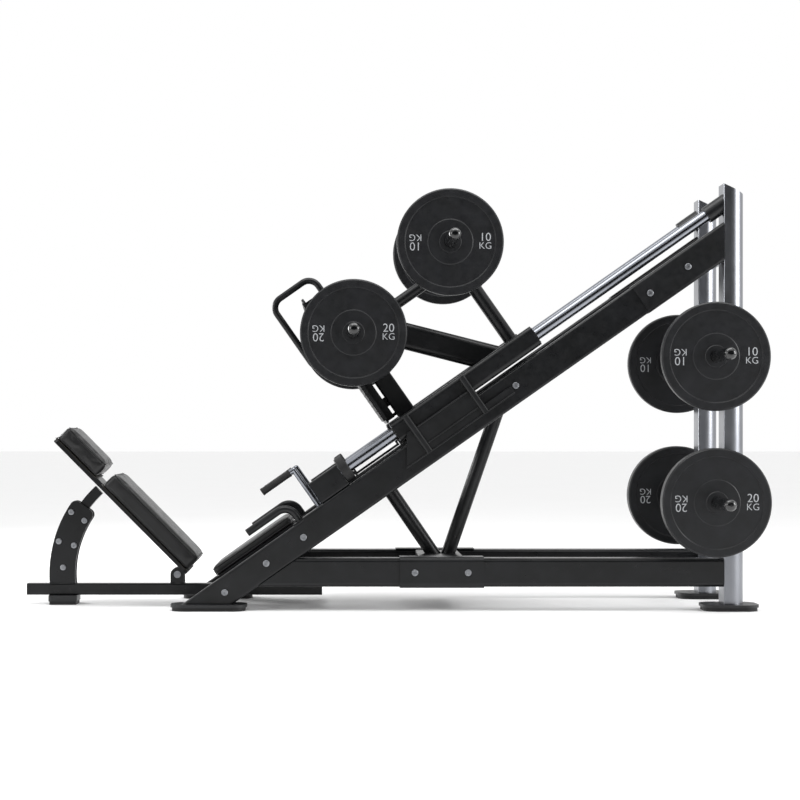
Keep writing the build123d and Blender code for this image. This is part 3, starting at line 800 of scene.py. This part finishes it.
# ---- Weight plates -------------------------------------------------------------------------
@dataclass
class WeightPlates:
    """Printed numerals and steel bore rings of the eight plates."""

    weights: tuple[int, ...] = (10, 20)
    text_radius: float = 147 * MM
    number_size: float = 50 * MM
    unit_size: float = 40 * MM
    line_drop: float = 18 * MM
    hub: float = 1 * MM
    dish: float = 4 * MM

    def build(self) -> None:
        """Dress every plate on both faces."""
        for weight in self.weights:
            print_set = self.face_print(weight)
            ring = self.bore_ring()
            for store in ("sled", "stored"):
                for side, sign in SIDES.items():
                    node = f"{store}_plate_{weight}_{side}"
                    low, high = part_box(node)
                    centre_x, centre_z = (low.x + high.x) / 2, (low.z + high.z) / 2
                    faces = (low.y + self.hub, high.y) if sign < 0 else (high.y - self.hub, low.y)
                    marks, rings = [], []
                    for face_y, way in zip(faces, (sign, -sign)):
                        turn = STILL if way < 0 else HALF_TURN
                        sunk = (centre_x, face_y - way * self.dish, centre_z)
                        marks.append(copy_of(print_set, Matrix.Translation(sunk) @ turn))
                        level = (centre_x, face_y, centre_z)
                        rings.append(copy_of(ring, Matrix.Translation(level) @ turn))
                    settle(joined(marks), f"{node}_print", node, None, WHITE_INK, STILL)
                    settle(joined(rings), f"{node}_bore_rings", node, "horn_steel", None, STILL)
            for pattern in (print_set, ring):
                bpy.data.objects.remove(pattern)

    def face_print(self, weight: int) -> bpy.types.Object:
        """Numerals of one face that looks towards -Y, upright on the right and turned on the left."""
        parts = []
        lines = (
            (str(weight), self.number_size, self.line_drop),
            ("KG", self.unit_size, -self.line_drop),
        )
        for text, size, drop in lines:
            bpy.ops.object.select_all(action="DESELECT")
            bpy.ops.object.text_add(location=(0, 0, 0))
            words = bpy.context.object
            words.data.body, words.data.size = text, size
            words.data.align_x, words.data.align_y = "CENTER", "CENTER"
            words.data.extrude, words.data.resolution_u = 0.3 * MM, 4
            words.data.offset = -0.35 * MM
            bpy.ops.object.convert(target="MESH")
            words = bpy.context.object
            words.data.transform(Matrix.Rotation(pi / 2, 4, "X"))
            words.data.transform(Matrix.Translation((self.text_radius, 0, drop)))
            parts.append(words)
        upright = joined(parts)
        turned = copy_of(upright, Matrix.Rotation(pi, 4, "Y"))
        return joined([upright, turned])

    def bore_ring(self) -> bpy.types.Object:
        """Turned steel lip round the bore of a face that looks towards -Y."""
        ring = new_bar((0, -0.2 * MM, 0), (0, 0.6 * MM, 0), 34 * MM, 64, "NOTHING")
        apply_modifier(ring, "SOLIDIFY", thickness=7.5 * MM, offset=-1.0)
        soften(ring, 0.3 * MM, 2)
        face_outwards(ring)
        return ring


# ---- Frame details -------------------------------------------------------------------------
@dataclass
class Fasteners:
    """Socket-head bolts in place of the plain packed heads."""

    head_radius: float = 14 * MM
    head_height: float = 6 * MM
    socket_radius: float = 5.2 * MM
    small_radius: float = 13 * MM
    slope_bolts: tuple[tuple[int, int, int], ...] = (
        (-547, 59, 350), (-335, 59, 350), (-145, 59, 350),
        (945, 70, 350), (1626, 64, 353), (1819, 64, 353),
    )
    saddle_bolts: tuple[int, ...] = (313, 535)
    saddle_z: float = 0.160
    saddle_out: float = 0.355
    sector_bolts: tuple[tuple[float, float], ...] = (
        (466.0, 30.1), (534.0, 30.5), (466.0, 15.7), (534.0, 15.6), (497.0, 3.5)
    )
    sector_out: float = 0.030
    sector_shank: float = 8 * MM

    def build(self) -> None:
        """Place the frame bolts and the bench sector bolts."""
        head = self.head(self.head_radius)
        places = []
        for u, v, out in self.slope_bolts:
            spot = RAIL @ Vector((u * MM, 0, v * MM))
            places.append((spot.x, spot.z, out * MM))
        places += [(x * MM - CENTRE_X, self.saddle_z, self.saddle_out) for x in self.saddle_bolts]
        heads = joined(self.spread(head, places))
        bolts = settle(heads, "frame_socket_bolts", "frame", "bolt_steel", matrix=STILL)
        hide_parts("frame_bolts")
        small = self.head(self.small_radius)
        places = []
        for radius, degrees in self.sector_bolts:
            angle = radians(degrees)
            x = HINGE_X - CENTRE_X - radius * MM * cos(angle)
            places.append((x, HINGE_Z + radius * MM * sin(angle), self.sector_out))
        copies = self.spread(small, places)
        for x, z, out in places:
            copies.append(new_bar((x, -out, z), (x, out, z), self.sector_shank, 24))
        pins = settle(joined(copies), "sector_socket_bolts", "frame", "bolt_steel", matrix=STILL)
        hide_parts("sector_bolts")
        for pattern in (head, small):
            bpy.data.objects.remove(pattern)

    def head(self, radius: float) -> bpy.types.Object:
        """Button head that looks towards -Y from the origin, with a washer lip and a hex socket."""
        head = new_bar((0, 0, 0), (0, -self.head_height, 0), radius, 40)
        with editing(head) as mesh:
            pick_edges(mesh, lambda a, b: max(a.y, b.y) < -self.head_height + 1e-6)
            bpy.ops.mesh.bevel(offset=3.6 * MM, segments=5, profile=0.6)
        with editing(head) as mesh:
            pick_edges(mesh, lambda a, b: min(a.y, b.y) > -1e-6)
            bpy.ops.mesh.bevel(offset=0.8 * MM, segments=2)
        cutter = new_bar((0, -3 * MM, 0), (0, -9 * MM, 0), self.socket_radius, 6)
        apply_modifier(head, "BOOLEAN", operation="DIFFERENCE", object=cutter, solver="EXACT")
        bpy.data.objects.remove(cutter)
        return head

    def spread(
        self, head: bpy.types.Object, places: Iterable[tuple[float, float, float]]
    ) -> list[bpy.types.Object]:
        """Copies of a head on both sides, at X, Z and distance out from the middle."""
        copies = []
        for x, z, out in places:
            copies.append(copy_of(head, Matrix.Translation((x, -out, z))))
            copies.append(copy_of(head, Matrix.Translation((x, out, z)) @ HALF_TURN))
        return copies


@dataclass
class FrameDetails:
    """End plugs, upright caps and weld beads of the fixed frame."""

    plug_ends: tuple[float, float] = (-1.360, -0.078)
    plug_half: float = 0.0268
    plug_z: tuple[float, float] = (0.0432, 0.0868)
    plug_length: float = 22 * MM
    upright_x: tuple[float, float] = (1.604, 1.694)
    upright_y: tuple[float, float] = (0.230, 0.350)
    top: float = 1.787
    cut: float = tan(radians(25))
    wall: float = 4 * MM
    back_radius: float = 54.5 * MM
    tie_places: tuple[float, float] = (0.265, 0.868)
    tie_half: float = 0.040
    tie_v: tuple[float, float] = (0.006, 0.074)
    rail_inside: float = 0.270
    ear_weld_x: tuple[float, float] = (-0.732, -0.680)
    sector_weld_x: tuple[float, float] = (-1.255, -1.160)
    bench_weld_y: float = 0.0305
    bench_weld_z: float = 0.0905

    def build(self) -> None:
        """Make each piece of the fixed frame's trim."""
        self.bench_plugs()
        self.upright_caps()
        self.welds()

    def bench_plugs(self) -> None:
        """Ribbed plugs pressed into both ends of the bench beam."""
        plugs = []
        low_z, high_z = self.plug_z
        for x_end, way in zip(self.plug_ends, (1, -1)):
            ends = sorted((x_end + way * 0.4 * MM, x_end + way * self.plug_length))
            plug = new_box((ends[0], -self.plug_half, low_z), (ends[1], self.plug_half, high_z))
            with editing(plug) as mesh:
                pick_faces(mesh, lambda f: f.normal.x * way < -0.9)
                bpy.ops.mesh.inset(thickness=6 * MM, depth=0)
                bpy.ops.mesh.inset(thickness=1 * MM, depth=-3 * MM)
            soften(plug, 0.8 * MM)
            plugs.append(plug)
        settle(joined(plugs), "bench_beam_plugs", "frame", "knob_plastic")

    def upright_caps(self) -> None:
        """Closing plates let into the slanted tops of the round-backed uprights."""
        x0, x1 = (self.upright_x[0] + self.wall, self.upright_x[1] - self.wall)
        y0, y1 = (self.upright_y[0] + self.wall, self.upright_y[1] - self.wall)
        gap = 0.3 * MM
        cap = new_box((x0 + gap, -y1 + gap, 1.70), (x1 - gap, -y0 - gap, 1.80))
        with editing(cap) as mesh:
            pick_edges(mesh, lambda a, b: abs(a.z - b.z) > 0.05 and a.x > (x0 + x1) / 2)
            bpy.ops.mesh.bevel(offset=self.back_radius, segments=14)
        normal = Vector((self.cut, 0, 1)).normalized()
        for drop, outer in ((1.0 * MM, True), (6.0 * MM, False)):
            with editing(cap):
                bpy.ops.mesh.select_all(action="SELECT")
                bpy.ops.mesh.bisect(
                    plane_co=(self.upright_x[0], 0, self.top - drop), plane_no=normal, use_fill=True,
                    clear_outer=outer, clear_inner=not outer,
                )
        soften(cap, 0.8 * MM)
        twin = copy_of(cap, ACROSS)
        settle(joined([cap, twin]), "upright_caps", "frame", "grey_steel")

    def welds(self) -> None:
        """Fillet welds where the frame's tubes meet."""
        beads = []
        for sign in (-1, 1):
            side = sign * self.rail_inside
            for u in self.tie_places:
                for edge in (-self.tie_half, self.tie_half):
                    ends = [Vector((u + edge, side, v)) for v in self.tie_v]
                    beads.append(weld_bead(*(RAIL @ p + Vector((CENTRE_X, 0, 0)) for p in ends)))
        for y in (-self.bench_weld_y, self.bench_weld_y):
            for reach in (self.ear_weld_x, self.sector_weld_x):
                beads.append(weld_bead(*((x, y, self.bench_weld_z) for x in reach)))
        settle(joined(beads), "frame_welds", "frame", "black_steel")


@dataclass
class SledDetails:
    """Rod wipers, post cap, mat ribs, panel lips and housing screws that ride on the sled."""

    rod_v: float = 0.194
    rod_y: float = 0.310
    house_ends: tuple[float, float] = (0.420, 1.135)
    wiper_radius: float = 27.9 * MM
    mat_u: tuple[float, float] = (0.4105, 0.4122)
    mat_half: float = 0.215
    post_half: float = 0.034
    post_v: tuple[float, float] = (0.555, 0.655)
    rib_start: float = 0.285
    rib_pitch: float = 28 * MM
    rib_half: float = 3 * MM
    ribs: int = 21
    lip_y: tuple[float, float] = (0.3715, 0.380)
    lip_edges: tuple[tuple[float, float, float, float], ...] = (
        (0.373, 0.923, 0.046, 0.052), (0.5075, 0.7625, 0.161, 0.167), (0.5075, 0.7625, 0.082, 0.088)
    )
    screw_reach: float = 33 * MM

    def build(self) -> None:
        """Make each piece of the sled's trim."""
        self.wipers()
        self.post_cap()
        self.mat_ribs()
        self.panel_lips()
        self.housing_screws()

    def wipers(self) -> None:
        """Rubber lip seals that wipe the guide rods at the housings' ends."""
        rings = []
        for sign in (-1, 1):
            for u, way in zip(self.house_ends, (-1, 1)):
                start = (u + way * 0.1 * MM, sign * self.rod_y, self.rod_v)
                end = (u + way * 5 * MM, sign * self.rod_y, self.rod_v)
                ring = new_bar(start, end, self.wiper_radius, 48, "NOTHING")
                apply_modifier(ring, "SOLIDIFY", thickness=2.5 * MM, offset=-1.0)
                face_outwards(ring)
                soften(ring, 0.7 * MM)
                rings.append(ring)
        settle(joined(rings), "rod_wipers", "sled", "rubber", matrix=RAIL)

    def post_cap(self) -> None:
        """Plate that closes the top of the square post, flush inside its wall."""
        cap = new_box((0.4825, -0.0355, 0.694), (0.5535, 0.0355, 0.6995))
        soften(cap, 1.2 * MM)
        settle(cap, "front_post_cap", "sled", "black_steel", matrix=RAIL)

    def mat_ribs(self) -> None:
        """Raised cross ribs moulded on the footplate mat."""
        ribs = []
        back, face = self.mat_u
        out, gap, rise = self.mat_half, self.post_half, self.rib_half
        first = new_box((back, -out, -rise), (face, out, rise))
        soften(first, 0.7 * MM)
        for step in range(self.ribs):
            level = self.rib_start + step * self.rib_pitch
            if self.post_v[0] < level < self.post_v[1]:
                for y0, y1 in ((-out, -gap), (gap, out)):
                    half = new_box((back, y0, level - rise), (face, y1, level + rise))
                    soften(half, 0.7 * MM)
                    ribs.append(half)
            else:
                ribs.append(copy_of(first, Matrix.Translation((0, 0, level))))
        bpy.data.objects.remove(first)
        settle(joined(ribs), "mat_ribs", "sled", "rubber", matrix=RAIL)

    def panel_lips(self) -> None:
        """Folded lips along the lower and upper edges of the side panels."""
        lips = []
        for sign in (-1, 1):
            inner, outer = (sign * y for y in self.lip_y)
            for u0, u1, v0, v1 in self.lip_edges:
                lip = new_box((u0, min(inner, outer), v0), (u1, max(inner, outer), v1))
                with editing(lip) as mesh:
                    pick_edges(mesh, self.is_outer_edge)
                    bpy.ops.mesh.bevel(offset=2.2 * MM, segments=4)
                soften(lip, 0.5 * MM)
                lips.append(lip)
        settle(joined(lips), "panel_lips", "sled", "black_panel", matrix=RAIL)

    def is_outer_edge(self, first: Vector, second: Vector) -> bool:
        """Tell whether an edge runs along a lip on its outer side."""
        out = min(abs(first.y), abs(second.y)) > self.lip_y[1] - 1 * MM
        return out and abs(first.x - second.x) > 0.1

    def housing_screws(self) -> None:
        """Four screws in each end of each bearing housing."""
        screws = []
        for sign in (-1, 1):
            for u, way in zip(self.house_ends, (-1, 1)):
                for y_way, v_way in ((-1, 1), (1, 1), (1, -1), (-1, -1)):
                    y = sign * self.rod_y + y_way * self.screw_reach
                    v = self.rod_v + v_way * self.screw_reach
                    screw = new_bar((u, y, v), (u + way * 3 * MM, y, v), 4.5 * MM, 20)
                    with editing(screw) as mesh:
                        pick_faces(mesh, lambda f: f.normal.x * way > 0.9)
                        bpy.ops.mesh.inset(thickness=1.6 * MM, depth=0)
                        bpy.ops.mesh.inset(thickness=0.4 * MM, depth=-1.6 * MM)
                    screws.append(screw)
        settle(joined(screws), "housing_screws", "sled", "bolt_steel", matrix=RAIL)


@dataclass
class LeverGrips:
    """Ribbed rubber grips on the safety lever's arms."""

    u_end: float = -0.040
    length: float = 0.145
    v: float = 0.312
    y: float = 0.238
    radius: float = 17 * MM
    rib_pitch: float = 8 * MM
    rib_depth: float = 0.10
    flange: float = 0.05

    def build(self) -> None:
        """Turn one grip and copy it to the other side."""
        start = (self.u_end, -self.y, self.v)
        end = (self.u_end - self.length, -self.y, self.v)
        grip = new_bar(start, end, self.radius - 0.5 * MM, 32)
        rings = int(self.length / (self.rib_pitch / 4))
        with editing(grip) as mesh:
            pick_edges(mesh, lambda a, b: abs(a.x - b.x) > self.length * 0.9)
            bpy.ops.mesh.subdivide(number_cuts=rings)
        for vertex in grip.data.vertices:
            way = (self.u_end - vertex.co.x) / self.length
            swell = 0.5 + 0.5 * cos(2 * pi * (self.u_end - vertex.co.x) / self.rib_pitch)
            if self.flange <= way <= 1 - self.flange:
                scale = 1 - self.rib_depth * (1 - swell)
            else:
                scale = 1.0
            vertex.co.y = -self.y + (vertex.co.y + self.y) * scale
            vertex.co.z = self.v + (vertex.co.z - self.v) * scale
        soften(grip, 1.5 * MM, 3)
        both = joined([grip, copy_of(grip, ACROSS)])
        grips = settle(both, "lever_rubber_grips", "safety_lever", "rubber", matrix=RAIL)
        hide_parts("lever_grips")


def dress_frame() -> None:
    """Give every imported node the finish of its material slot."""
    for row in frame["record"]["subparts"]:
        mesh = NODES[row["node"]].data
        mesh.materials.clear()
        mesh.materials.append(SLOT_FINISH[row["material_slot"]].material())


def main() -> None:
    """Build the studio, then each sub-assembly in order."""
    Studio().build()
    dress_frame()
    Pad("back_cushion", "back_pad", "backrest", BACK).build()
    Pad("head_cushion", "head_pad", "backrest", BACK).build()
    Pad("seat_cushion", "seat_pad", "frame", RAIL, cap=7 * MM, inset=4 * MM).build()
    WeightPlates().build()
    Fasteners().build()
    FrameDetails().build()
    SledDetails().build()
    LeverGrips().build()
    LOG.info("all pieces are in place")


if __name__ == "__main__":
    logging.basicConfig(level=logging.INFO, format="%(name)s: %(message)s")
    main()
